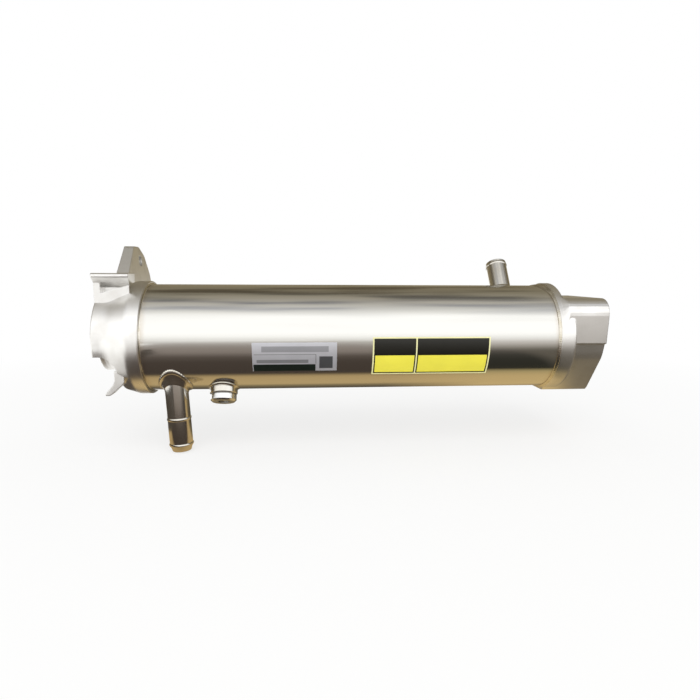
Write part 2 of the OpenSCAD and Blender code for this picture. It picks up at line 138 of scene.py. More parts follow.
def blank(name: str) -> tuple[bpy.types.Material, Tree]:
    """Starts a material without nodes.

    Args:
        name: Name of the material.

    Returns:
        The material and its empty node tree.
    """
    material = bpy.data.materials.new(name)
    material.use_nodes = True
    material.node_tree.nodes.clear()
    return material, material.node_tree


def add(tree: Tree, kind: str, inputs: Inputs | None = None, **settings: Any) -> Node:
    """Adds a node with its settings and links.

    Args:
        tree: Node tree to add to.
        kind: Type of the node.
        inputs: Values or sockets, by the input's name or number.
        **settings: Properties of the node.

    Returns:
        The new node.
    """
    made = tree.nodes.new(kind)
    for name, value in settings.items():
        setattr(made, name, value)
    for key, value in (inputs or {}).items():
        if isinstance(value, Socket):
            tree.links.new(value, made.inputs[key])
        else:
            made.inputs[key].default_value = value
    return made


def front_angle(tree: Tree, parts: Node) -> Socket:
    """Gives the angle about X above the front.

    Args:
        tree: Node tree to add to.
        parts: Node that gives a place or a direction as X, Y and Z.

    Returns:
        The angle, in radians.
    """
    front = add(tree, "ShaderNodeMath", {0: parts.outputs["Y"], 1: -1.0}, operation="MULTIPLY")
    angle = add(tree, "ShaderNodeMath", {0: parts.outputs["Z"], 1: front.outputs[0]}, operation="ARCTAN2")
    return angle.outputs[0]


@dataclass(frozen=True)
class Finish(ABC):
    """A surface finish that makes its own material.

    Attributes:
        name: Name of the real material and how it was made.
        colour: Base colour as an sRGB hex value.
        roughness: Mean roughness.
        metallic: One for bare metal.
    """

    name: str
    colour: str
    roughness: float
    metallic: float = 1.0

    def make(self) -> bpy.types.Material:
        """Makes the material.

        Returns:
            The material, with its pattern.
        """
        material, tree = blank(self.name)
        shader = add(tree, "ShaderNodeBsdfPrincipled", {
            "Base Color": linear(self.colour), "Roughness": self.roughness, "Metallic": self.metallic})
        add(tree, "ShaderNodeOutputMaterial", {"Surface": shader.outputs["BSDF"]})
        self.pattern(tree, shader, add(tree, "ShaderNodeTexCoord").outputs["Object"])
        return material

    @abstractmethod
    def pattern(self, tree: Tree, shader: Node, place: Socket) -> None:
        """Gives the shader the pattern of the finish.

        Args:
            tree: Node tree to add to.
            shader: Shader to link the pattern to.
            place: Coordinates in metres.
        """

    def vary_gloss(self, tree: Tree, shader: Node, value: Socket, shares: Span) -> None:
        """Varies the roughness.

        Args:
            tree: Node tree to add to.
            shader: Shader whose roughness varies.
            value: Noise that it follows.
            shares: Least and greatest roughness, as shares of the mean.
        """
        low, high = (self.roughness * share for share in shares)
        rough = add(tree, "ShaderNodeMapRange", {
            "Value": value, "From Min": NOISE[0], "From Max": NOISE[1], "To Min": low, "To Max": high})
        tree.links.new(rough.outputs[0], shader.inputs["Roughness"])


@dataclass(frozen=True)
class PolishedTube(Finish):
    """Bright polished stainless tube, with fine lengthwise polishing streaks and heat tint beside its welds.

    Attributes:
        streak: Length and width of one streak in millimetres.
        streak_depth: Depth of the streaks in millimetres.
        streak_strength: Strength of the streaks' bump.
        gloss: Least and greatest roughness, as shares of the mean.
        welds: Places of the welds along the tube, in metres.
        tint: Colour of the heat tint.
        tint_share: Share of the tint's colour at a weld.
        tint_reach: Reach of the tint on each side of a weld, in millimetres.
        tint_blotch: Width of one blotch of the tint, in millimetres.
    """

    streak: Span = (140.0, 2.2)
    streak_depth: float = 0.1
    streak_strength: float = 0.06
    gloss: Span = (0.75, 1.3)
    welds: tuple[float, ...] = ()
    tint: str = "#a98b5c"
    tint_share: float = 0.5
    tint_reach: float = 6.0
    tint_blotch: float = 9.0

    def pattern(self, tree: Tree, shader: Node, place: Socket) -> None:
        """Makes streaks in roughness and bump, and the tint beside the welds.

        Args:
            tree: Node tree to add to.
            shader: Shader to link the pattern to.
            place: Coordinates in metres.
        """
        along, across = (per_mm(size) for size in self.streak)
        drawn = add(tree, "ShaderNodeMapping", {"Vector": place, "Scale": (along, across, across)})
        streaks = add(tree, "ShaderNodeTexNoise", {"Vector": drawn.outputs[0], "Scale": 1.0, "Detail": 3.0})
        height = streaks.outputs["Fac"]
        self.vary_gloss(tree, shader, height, self.gloss)
        bump = add(tree, "ShaderNodeBump", {
            "Height": height, "Strength": self.streak_strength, "Distance": self.streak_depth * MM})
        tree.links.new(bump.outputs[0], shader.inputs["Normal"])
        place_x = add(tree, "ShaderNodeSeparateXYZ", {0: place}).outputs["X"]
        blotch = add(tree, "ShaderNodeTexNoise", {"Vector": place, "Scale": per_mm(self.tint_blotch)})
        colour: Any = linear(self.colour)
        for weld in self.welds:
            off = add(tree, "ShaderNodeMath", {0: place_x, 1: weld}, operation="SUBTRACT")
            far = add(tree, "ShaderNodeMath", {0: off.outputs[0]}, operation="ABSOLUTE")
            near = add(tree, "ShaderNodeMapRange", {
                "Value": far.outputs[0], "From Max": self.tint_reach * MM,
                "To Min": self.tint_share, "To Max": 0.0}, interpolation_type="SMOOTHSTEP")
            share = add(tree, "ShaderNodeMath", {
                0: near.outputs[0], 1: blotch.outputs["Fac"]}, operation="MULTIPLY")
            mixed = add(tree, "ShaderNodeMix", {
                "Factor": share.outputs[0], MIX_A: colour, MIX_B: linear(self.tint)}, data_type="RGBA")
            colour = mixed.outputs[MIXED]
        if self.welds:
            tree.links.new(colour, shader.inputs["Base Color"])


@dataclass(frozen=True)
class GrainedMetal(Finish):
    """Cast, drawn or plated metal with a fine grain, cloudy gloss and softened edges.

    Attributes:
        grain: Width of one grain in millimetres, as coarse as it needs to show in the render.
        grain_depth: Height of the grain in millimetres.
        grain_strength: Strength of the grain's bump.
        gloss: Least and greatest roughness, as shares of the mean.
        cloud: Width of one cloud of duller metal in millimetres.
        cloud_span: Values of the noise between which a cloud thickens.
        cloud_share: Share of the clouds' colour where they are thick.
        shade: Colour of the clouds.
        edge: Radius that softens the sharp edges, in millimetres.
        edge_samples: Samples that find the edges.
    """

    grain: float = 0.9
    grain_depth: float = 0.02
    grain_strength: float = 0.35
    gloss: Span = (0.85, 1.2)
    cloud: float = 14.0
    cloud_span: Span = (0.42, 0.75)
    cloud_share: float = 0.6
    shade: str = "#b9b5ae"
    edge: float = 0.0
    edge_samples: int = 6

    def pattern(self, tree: Tree, shader: Node, place: Socket) -> None:
        """Makes grain in the bump and clouds in colour and roughness.

        Args:
            tree: Node tree to add to.
            shader: Shader to link the pattern to.
            place: Coordinates in metres.
        """
        noise = add(tree, "ShaderNodeTexNoise", {"Vector": place, "Scale": per_mm(self.cloud), "Detail": 4.0})
        clouds = noise.outputs["Fac"]
        self.vary_gloss(tree, shader, clouds, self.gloss)
        thin, thick = self.cloud_span
        share = add(tree, "ShaderNodeMapRange", {
            "Value": clouds, "From Min": thin, "From Max": thick, "To Max": self.cloud_share})
        mixed = add(tree, "ShaderNodeMix", {
            "Factor": share.outputs[0], MIX_A: linear(self.colour), MIX_B: linear(self.shade)},
            data_type="RGBA")
        tree.links.new(mixed.outputs[MIXED], shader.inputs["Base Color"])
        grains = add(tree, "ShaderNodeTexNoise", {"Vector": place, "Scale": per_mm(self.grain)})
        bump = add(tree, "ShaderNodeBump", {
            "Height": grains.outputs["Fac"], "Strength": self.grain_strength,
            "Distance": self.grain_depth * MM})
        if self.edge:
            soft = add(tree, "ShaderNodeBevel", {"Radius": self.edge * MM}, samples=self.edge_samples)
            tree.links.new(soft.outputs[0], bump.inputs["Normal"])
        tree.links.new(bump.outputs[0], shader.inputs["Normal"])


@dataclass(frozen=True)
class Field:
    """A blank field of colour on a label.

    Attributes:
        colour: Colour as an sRGB hex value.
        x: Left and right edges along the shell, in metres or as shares of a label's width.
        angle: Lower and upper edges, in degrees above the front or as shares of a label's height.
    """

    colour: str
    x: Span
    angle: Span

    def on(self, edges: Edges) -> Field:
        """Turns a field whose edges are shares of a label's width and height to one on that label.

        Args:
            edges: The label's left, right, lower and upper edges.

        Returns:
            The field in metres and degrees.
        """
        x0, x1, a0, a1 = edges
        left, right = (x0 + share * (x1 - x0) for share in self.x)
        low, high = (a0 + share * (a1 - a0) for share in self.angle)
        return Field(self.colour, (left, right), (low, high))


@dataclass(frozen=True)
class PrintedFilm(Finish):
    """Polyester label film with blank printed fields, a soft sheen and a slight orange peel.

    Attributes:
        fields: Fields from the lowest layer to the highest.
        wear: Brightness of the most faded spots, as a share.
        wear_cell: Width of one faded spot in millimetres.
        peel: Width of the film's unevenness in millimetres.
        peel_depth: Depth of the unevenness in millimetres.
        peel_strength: Strength of its bump.
    """

    fields: tuple[Field, ...] = ()
    wear: float = 0.93
    wear_cell: float = 18.0
    peel: float = 3.5
    peel_depth: float = 0.05
    peel_strength: float = 0.08

    def pattern(self, tree: Tree, shader: Node, place: Socket) -> None:
        """Makes the fields from the place along the shell and the angle round it.

        Args:
            tree: Node tree to add to.
            shader: Shader to link the pattern to.
            place: Coordinates in metres.
        """
        parts = add(tree, "ShaderNodeSeparateXYZ", {0: place})
        angle = front_angle(tree, parts)
        colour: Any = linear(self.colour)
        for field in self.fields:
            inside: Any = 1.0
            turns = tuple(math.radians(a) for a in field.angle)
            for socket, (low, high) in ((parts.outputs["X"], field.x), (angle, turns)):
                for edge, test in ((low, "GREATER_THAN"), (high, "LESS_THAN")):
                    passed = add(tree, "ShaderNodeMath", {0: socket, 1: edge}, operation=test).outputs[0]
                    both = add(tree, "ShaderNodeMath", {0: inside, 1: passed}, operation="MULTIPLY")
                    inside = both.outputs[0]
            mixed = add(tree, "ShaderNodeMix", {
                "Factor": inside, MIX_A: colour, MIX_B: linear(field.colour)}, data_type="RGBA")
            colour = mixed.outputs[MIXED]
        fade = add(tree, "ShaderNodeTexNoise", {
            "Vector": place, "Scale": per_mm(self.wear_cell), "Detail": 3.0})
        worn = add(tree, "ShaderNodeMapRange", {
            "Value": fade.outputs["Fac"], "From Min": NOISE[0], "From Max": NOISE[1], "To Min": self.wear})
        aged = add(tree, "ShaderNodeMix", {"Factor": 1.0, MIX_A: colour, MIX_B: worn.outputs[0]},
                   data_type="RGBA", blend_type="MULTIPLY")
        tree.links.new(aged.outputs[MIXED], shader.inputs["Base Color"])
        peel = add(tree, "ShaderNodeTexNoise", {"Vector": place, "Scale": per_mm(self.peel)})
        bump = add(tree, "ShaderNodeBump", {
            "Height": peel.outputs["Fac"], "Strength": self.peel_strength, "Distance": self.peel_depth * MM})
        tree.links.new(bump.outputs[0], shader.inputs["Normal"])


# Two grey strips, two rules, a dark bar and a grey square, by shares of the silver label's width and height
SILVER_FIELDS = (
    Field("#b2b3b9", (0.11, 0.9), (0.69, 0.88)),
    Field("#9d9ea3", (0.02, 0.75), (0.6, 0.618)),
    Field("#9d9ea3", (0.745, 0.753), (0.28, 0.618)),
    Field("#a3a4a9", (0.05, 0.66), (0.31, 0.43)),
    Field("#27332c", (0.01, 0.745), (-0.1, 0.26)),
    Field("#66686b", (0.79, 0.95), (0.1, 0.54)),
)


def dress(names: Iterable[str], nodes: dict[str, bpy.types.Object], material: bpy.types.Material) -> None:
    """Gives CAD nodes a material.

    Args:
        names: Names of the nodes.
        nodes: The frame's nodes by name.
        material: Material to give them.
    """
    for name in names:
        nodes[name].data.materials.clear()
        nodes[name].data.materials.append(material)
        LOG.info("dressed %s in %s", name, material.name)


def linked(made: bmesh.types.BMesh, name: str) -> bpy.types.Object:
    """Turns a mesh into an object of the scene, and frees it.

    Args:
        made: The mesh.
        name: Name of the object.

    Returns:
        The object.
    """
    data = bpy.data.meshes.new(name)
    made.to_mesh(data)
    made.free()
    piece = bpy.data.objects.new(name, data)
    bpy.context.scene.collection.objects.link(piece)
    return piece


def settle(piece: bpy.types.Object, material: bpy.types.Material) -> None:
    """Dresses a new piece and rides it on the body.

    Args:
        piece: The new piece, with its place in its mesh.
        material: Its material.
    """
    piece.data.materials.append(material)
    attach(piece, BODY)
    LOG.info("made %s with %d faces", piece.name, len(piece.data.polygons))


def axis_frame(place: Vector, axis: Vector) -> Matrix:
    """Gives the frame whose origin is at a place and whose Z runs along an axis.

    Args:
        place: Origin, in metres.
        axis: Direction of local Z.

    Returns:
        The frame as a matrix.
    """
    return Matrix.Translation(place) @ axis.to_track_quat("Z", "Y").to_matrix().to_4x4()


def arc(centre: Span, r: float, a0: float, a1: float, steps: int) -> list[Span]:
    """Gives points along an arc.

    Args:
        centre: Centre of the arc.
        r: Radius.
        a0: Start, in degrees.
        a1: End, in degrees.
        steps: Steps along it.

    Returns:
        The points, both ends among them.
    """
    turns = [math.radians(a0 + (a1 - a0) * i / steps) for i in range(steps + 1)]
    return [(centre[0] + r * math.cos(t), centre[1] + r * math.sin(t)) for t in turns]


@dataclass
class Ring:
    """A closed ring that is spun from a profile about the Z axis of a frame.

    Attributes:
        name: Name of the piece.
        profile: Closed outline as radius and height, in millimetres.
        frame: Frame that the ring stands in.
        steps: Steps of the spin.
        ripples: Ripples round the ring.
        ripple: Height of a ripple, as a share of the ring's own thickness.
        fixed: Height of the edge that stays while the ring's upper part grows longer, in millimetres.
        growth: Extra length of the ring at its top, as a share of its length.
        gather: Power that gathers the growth at the top.
        saddle: Radius of a shell about X that the ring is bent to, in millimetres, or none.
    """

    name: str
    profile: Profile
    frame: Matrix
    steps: int
    ripples: int = 0
    ripple: float = 0.0
    fixed: float = 0.0
    growth: float = 0.0
    gather: int = 12
    saddle: float | None = None

    def mesh(self) -> bmesh.types.BMesh:
        """Spins the profile and closes the ring.

        Returns:
            The ring in its own frame, in metres.
        """
        made = bmesh.new()
        verts = [made.verts.new((r * MM, 0, h * MM)) for r, h in self.profile]
        edges = [made.edges.new((a, b)) for a, b in zip(verts, verts[1:] + verts[:1])]
        bmesh.ops.spin(made, geom=verts + edges, cent=(0, 0, 0), axis=(0, 0, 1), dvec=(0, 0, 0),
                       angle=math.tau, steps=self.steps, use_merge=True, use_duplicate=False)
        bmesh.ops.remove_doubles(made, verts=made.verts, dist=SAME)
        return made

    def rippled(self, made: bmesh.types.BMesh) -> None:
        """Waves the ring's outer side as a weld pool leaves it, and lengthens its upper part.

        Args:
            made: The ring in its own frame.
        """
        low = min(r for r, _ in self.profile) * MM
        fixed = self.fixed * MM
        for vert in made.verts:
            radius = math.hypot(vert.co.x, vert.co.y)
            turn = math.atan2(vert.co.y, vert.co.x)
            grown = low + (radius - low) * (1 + self.ripple * math.sin(self.ripples * turn))
            longer = 1 + self.growth * max(vert.co.y / radius, 0.0) ** self.gather
            vert.co.x *= grown / radius
            vert.co.y *= grown / radius
            vert.co.z = fixed + (vert.co.z - fixed) * longer

    def bent(self, made: bmesh.types.BMesh) -> None:
        """Slides each point along the ring's axis, until its height stands square above the shell.

        Args:
            made: The ring, already in the object's frame.
        """
        axis = (self.frame.to_3x3() @ Vector((0, 0, 1))).normalized()
        origin = self.frame.translation
        reach = axis.y ** 2 + axis.z ** 2
        for vert in made.verts:
            height = (vert.co - origin).dot(axis)
            flat = vert.co - axis * height
            across = flat.y * axis.y + flat.z * axis.z
            skin = self.saddle * MM + height
            inside = across ** 2 - reach * (flat.y ** 2 + flat.z ** 2 - skin ** 2)
            vert.co = flat + axis * ((-across + math.sqrt(max(inside, 0.0))) / reach)

    def build(self) -> bpy.types.Object:
        """Builds the ring as an object.

        Returns:
            The object, with its place in its mesh.
        """
        made = self.mesh()
        if self.ripples:
            self.rippled(made)
        bmesh.ops.transform(made, matrix=self.frame, verts=made.verts)
        if self.saddle is not None:
            self.bent(made)
        bmesh.ops.recalc_face_normals(made, faces=made.faces)
        for face in made.faces:
            face.smooth = True
        return linked(made, self.name)


@dataclass
class ShellSeams:
    """Weld rings that join the shell to the two castings.

    Attributes:
        shell_r: Radius of the shell, in millimetres.
        inlet_x: Edge of the inlet casting's rim, in millimetres.
        outlet_x: Edge of the outlet casting's collar, in millimetres.
        sunk: Depth of a ring below the shell's surface, in millimetres.
        ripple: Height of a ripple, as a share of the ring's own thickness.
        ripple_pitch: Distance from one ripple to the next, in millimetres.
        ripple_steps: Steps round each ripple.
        top_growth: Extra length of the outlet's bead at the top, as a share of its length.
    """

    shell_r: float
    inlet_x: float
    outlet_x: float
    sunk: float = 0.1
    ripple: float = 0.02
    ripple_pitch: float = 1.8
    ripple_steps: int = 4
    top_growth: float = 3.6

    def ring(self, name: str, outline: Profile, edge: float, growth: float) -> bpy.types.Object:
        """Builds a rippled ring about the shell's axis.

        Args:
            name: Name of the piece.
            outline: Outline as height above the shell and distance from the casting's edge, in millimetres.
            edge: Place of the casting's edge, in millimetres.
            growth: Extra length at the top, as a share of the length.

        Returns:
            The piece.
        """
        ripples = round(math.tau * self.shell_r / self.ripple_pitch)
        frame = axis_frame(Vector((0, 0, 0)), Vector((1, 0, 0)))
        profile = [(self.shell_r + height, edge + off) for height, off in outline]
        made = Ring(name, profile, frame, self.ripple_steps * ripples, ripples, self.ripple,
                    fixed=edge, growth=growth)
        return made.build()

    def build(self, material: bpy.types.Material) -> None:
        """Builds the narrow fillet at the inlet and the broader bead at the outlet.

        Args:
            material: Material of the weld metal.
        """
        fillet = [(-self.sunk, -0.4), (1.4, -0.4), (1.4, 0.02), (0.8, 0.12), (0.4, 0.3), (0.15, 0.6),
                  (0.04, 1.0), (-self.sunk, 1.1)]
        settle(self.ring("inlet_weld", fillet, self.inlet_x, 0.0), material)
        bead = [(-self.sunk, -1.9), (0.35, -1.75), (0.7, -1.4), (0.95, -0.95), (1.2, -0.5), (1.7, -0.15),
                (1.8, 0.4), (-self.sunk, 0.4)]
        settle(self.ring("outlet_weld", bead, self.outlet_x, self.top_growth), material)


@dataclass(frozen=True)
class Fillet:
    """Size of a fillet of weld metal, in millimetres.

    Attributes:
        toe: Reach on the shell.
        rise: Height on the round piece.
        lip: Radius of the rounded lip at the toe.
    """

    toe: float
    rise: float
    lip: float


@dataclass
class SaddleWeld:
    """Fillet of weld metal where a round piece stands on the shell.

    Attributes:
        name: Name of the piece.
        frame: Frame on the round piece's axis, with Z pointing out of the shell.
        r: Radius of the round piece, in millimetres.
        size: Size of the fillet.
        shell_r: Radius of the shell, in millimetres.
        sunk: Depth of the fillet below the shell's surface, in millimetres.
        overlap: Depth of the fillet inside the round piece, in millimetres.
        lip_turn: Turn of the lip from its toe to its top, in degrees.
        lip_steps: Steps along the lip.
        slope_start: Height at which the slope begins, as a share of the lip's radius.
        slope_steps: Steps up the slope.
        hollow: Power that hollows the slope.
        ripple: Height of a ripple, as a share of the fillet's own thickness.
        ripple_pitch: Distance from one ripple to the next, in millimetres.
        ripple_steps: Steps round each ripple.
    """

    name: str
    frame: Matrix
    r: float
    size: Fillet
    shell_r: float
    sunk: float = 0.4
    overlap: float = 0.3
    lip_turn: float = 120.0
    lip_steps: int = 5
    slope_start: float = 1.8
    slope_steps: int = 10
    hollow: float = 2.2
    ripple: float = 0.02
    ripple_pitch: float = 1.8
    ripple_steps: int = 4

    def build(self, material: bpy.types.Material) -> None:
        """Builds the fillet with a rounded lip and a hollow slope.

        Args:
            material: Material of the weld metal.
        """
        toe, rise, lip = self.size.toe, self.size.rise, self.size.lip
        inner, outer = self.r - self.overlap, self.r + toe
        run = toe - 2 * lip
        low = self.slope_start * lip
        shares = [i / self.slope_steps for i in range(1, self.slope_steps + 1)]
        slope = [(outer - 2 * lip - run * s, low + (rise - low) * s ** self.hollow) for s in shares]
        rounded = arc((outer - lip, lip), lip, 0, self.lip_turn, self.lip_steps)
        profile = [(inner, -self.sunk), (outer, -self.sunk)] + rounded + slope + [(inner, rise)]
        ripples = round(math.tau * outer / self.ripple_pitch)
        ring = Ring(self.name, profile, self.frame, self.ripple_steps * ripples, ripples, self.ripple,
                    saddle=self.shell_r)
        settle(ring.build(), material)


@dataclass
class TappedHoles:
    """Threads in the tapped holes of a gas flange.

    Attributes:
        name: Name of the piece.
        face_x: Place of the flange's face, in millimetres.
        inward: One or minus one, the way into the flange along X.
        places: Centres of the holes in Y and Z, in millimetres.
        hole_r: Radius of the drilled hole, in millimetres.
        start: Depth at which the threads begin, in millimetres.
        pitch: Distance from one thread to the next, in millimetres.
        depth: Length of the threaded stretch, in millimetres.
        height: Height of a thread that shows inside the hole, in millimetres.
        inset: Distance of the thread's root from the hole's wall, in millimetres.
        root: Thickness behind the thread's root, in millimetres.
        steps: Steps round a hole.
    """

    name: str
    face_x: float
    inward: int
    places: Sequence[Span]
    hole_r: float
    start: float = 0.4
    pitch: float = 1.25
    depth: float = 8.75
    height: float = 0.35
    inset: float = 0.02
    root: float = 0.3
    steps: int = 36

    def build(self, material: bpy.types.Material) -> None:
        """Builds the threads of every hole as one piece.

        Args:
            material: Material of the flange.
        """
        turns = round(self.depth / self.pitch)
        wall = self.hole_r - self.inset
        end = self.start + turns * self.pitch
        profile: list[Span] = [(wall + self.root, self.start)]
        for turn in range(turns):
            low = self.start + turn * self.pitch
            profile += [(wall, low), (wall - self.height, low + self.pitch / 2)]
        profile += [(wall, end), (wall + self.root, end)]
        joined = bmesh.new()
        for y, z in self.places:
            frame = axis_frame(Vector((self.face_x, y, z)) * MM, Vector((self.inward, 0, 0)))
            one = Ring(self.name, profile, frame, self.steps).mesh()
            bmesh.ops.transform(one, matrix=frame, verts=one.verts)
            bmesh.ops.recalc_face_normals(one, faces=one.faces)
            data = bpy.data.meshes.new(self.name + "_one")
            one.to_mesh(data)
            one.free()
            joined.from_mesh(data)
            bpy.data.meshes.remove(data)
        settle(linked(joined, self.name), material)


@dataclass(frozen=True)
class Surroundings:
    """Bands of colour that only show mirrored, across an angle or a distance.

    Attributes:
        bands: Place and sRGB hex colour of each band.
        strength: Brightness of the bands.
    """

    bands: tuple[tuple[float, str], ...]
    strength: float = 1.5

    def colour(self, tree: Tree, place: Socket) -> Socket:
        """Gives the colour at a place.

        Args:
            tree: Node tree to add to.
            place: Angle or distance, in the units of the bands.

        Returns:
            The socket with the colour.
        """
        low, high = self.bands[0][0], self.bands[-1][0]
        share = add(tree, "ShaderNodeMapRange", {"Value": place, "From Min": low, "From Max": high})
        ramp = add(tree, "ShaderNodeValToRGB", {0: share.outputs[0]})
        elements = ramp.color_ramp.elements
        while len(elements) < len(self.bands):
            elements.new(0.5)
        for element, (at, code) in zip(elements, self.bands):
            element.position = (at - low) / (high - low)
            element.color = linear(code)
        return ramp.outputs[0]


# Soft box in front, grey ceiling above and dark wall behind, by degrees above the front
ROOM = Surroundings((
    (0, "#dcdbd9"), (6, "#f4f4f2"), (14, "#ffffff"), (50, "#ffffff"), (59, "#e4e3e0"), (68, "#c5c4c1"),
    (80, "#b0ada6"), (97, "#948e81"), (118, "#7a7362"), (146, "#736a56"), (165, "#857b64"), (180, "#8d8268")))
# The same room where a beam hangs under the ceiling
BEAMS = Surroundings((
    (0, "#dcdbd9"), (6, "#f4f4f2"), (14, "#ffffff"), (50, "#f6f6f5"), (59, "#cecece"), (68, "#a1a2a6"),
    (80, "#797a7f"), (97, "#595752"), (118, "#4b4437"), (146, "#544b3b"), (165, "#6f6650"), (180, "#7d735b")))
# Tan board under the object, a dark strip in front of it, painted shade behind it and a grey floor beyond, by
# metres in Y
BENCH = Surroundings((
    (-3.0, "#e9e8e6"), (-1.0, "#b8b5b1"), (-0.48, "#948e89"), (-0.3, "#857d77"), (-0.21, "#7d746e"),
    (-0.15, "#534b45"), (-0.11, "#433b35"), (-0.048, "#3f3731"), (-0.04, "#a48d64"), (0.002, "#ae976c"),
    (0.022, "#6a5f48"), (0.06, "#4a443a"), (0.3, "#5d5649")))
# The same bench towards the outlet, where the strip in front of the board is darker and the board is broader
BENCH_RIGHT = Surroundings((
    (-3.0, "#d2d0cb"), (-1.0, "#b0aea8"), (-0.48, "#a8a49d"), (-0.32, "#948f87"), (-0.21, "#524d48"),
    (-0.15, "#393732"), (-0.11, "#2e2d28"), (-0.06, "#2a2923"), (-0.05, "#94865f"), (-0.03, "#b59d6e"),
    (0.03, "#b59d6e"), (0.05, "#a08b64"), (0.3, "#5d5649")))
# The bench beyond the board's right end
BENCH_END = Surroundings((
    (-3.0, "#e2e0de"), (-1.0, "#c6c2be"), (-0.48, "#b0aba6"), (-0.32, "#8f8a83"), (-0.21, "#5a554d"),
    (-0.06, "#59534a"), (-0.05, "#685f4f"), (0.05, "#786d58"), (0.3, "#5d5649")))
# Shadow beside the board's left end, and white paper beyond it, by metres from the board's end
PAPER = Surroundings((
    (-0.2, "#f6f6f4"), (-0.06, "#e6e5e2"), (-0.03, "#bdbab6"), (-0.012, "#6a645d"), (0, "#46403a")))


@dataclass(frozen=True)
class Card:
    """A flat card that only shows mirrored.

    Attributes:
        name: Name of the card.
        colour: Colour as an sRGB hex value.
        corners: Corners in metres, with their heights above the floor.
        strength: Brightness of the card.
    """

    name: str
    colour: str
    corners: tuple[Point, ...]
    strength: float = 1.5

    def place(self, floor: float) -> None:
        """Puts the card on the stage.

        Args:
            floor: Height of the floor, in metres.
        """
        material, tree = blank(self.name)
        glow = add(tree, "ShaderNodeEmission", {"Color": linear(self.colour), "Strength": self.strength})
        add(tree, "ShaderNodeOutputMaterial", {"Surface": glow.outputs[0]})
        made = bmesh.new()
        made.faces.new([made.verts.new((x, y, floor + z)) for x, y, z in self.corners])
        card = linked(made, self.name)
        card.data.materials.append(material)
        card.visible_camera = False
        card.visible_diffuse = False
        card.visible_shadow = False
        card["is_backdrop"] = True


# A low dark card stands left of the lower spigot as painted shade that only shows mirrored, and a white one
# lies before the inlet casting
CARDS = (
    Card("shade_card", "#46403a", ((0, -0.2, 0), (0, 0.03, 0), (0, 0.03, 0.038), (0, -0.2, 0.038))),
    Card("white_card", "#f4f4f2", (
        (-0.5, -0.8, 0.002), (-0.16, -0.8, 0.002), (-0.05, -0.2, 0.002), (-0.5, -0.2, 0.002))),
)


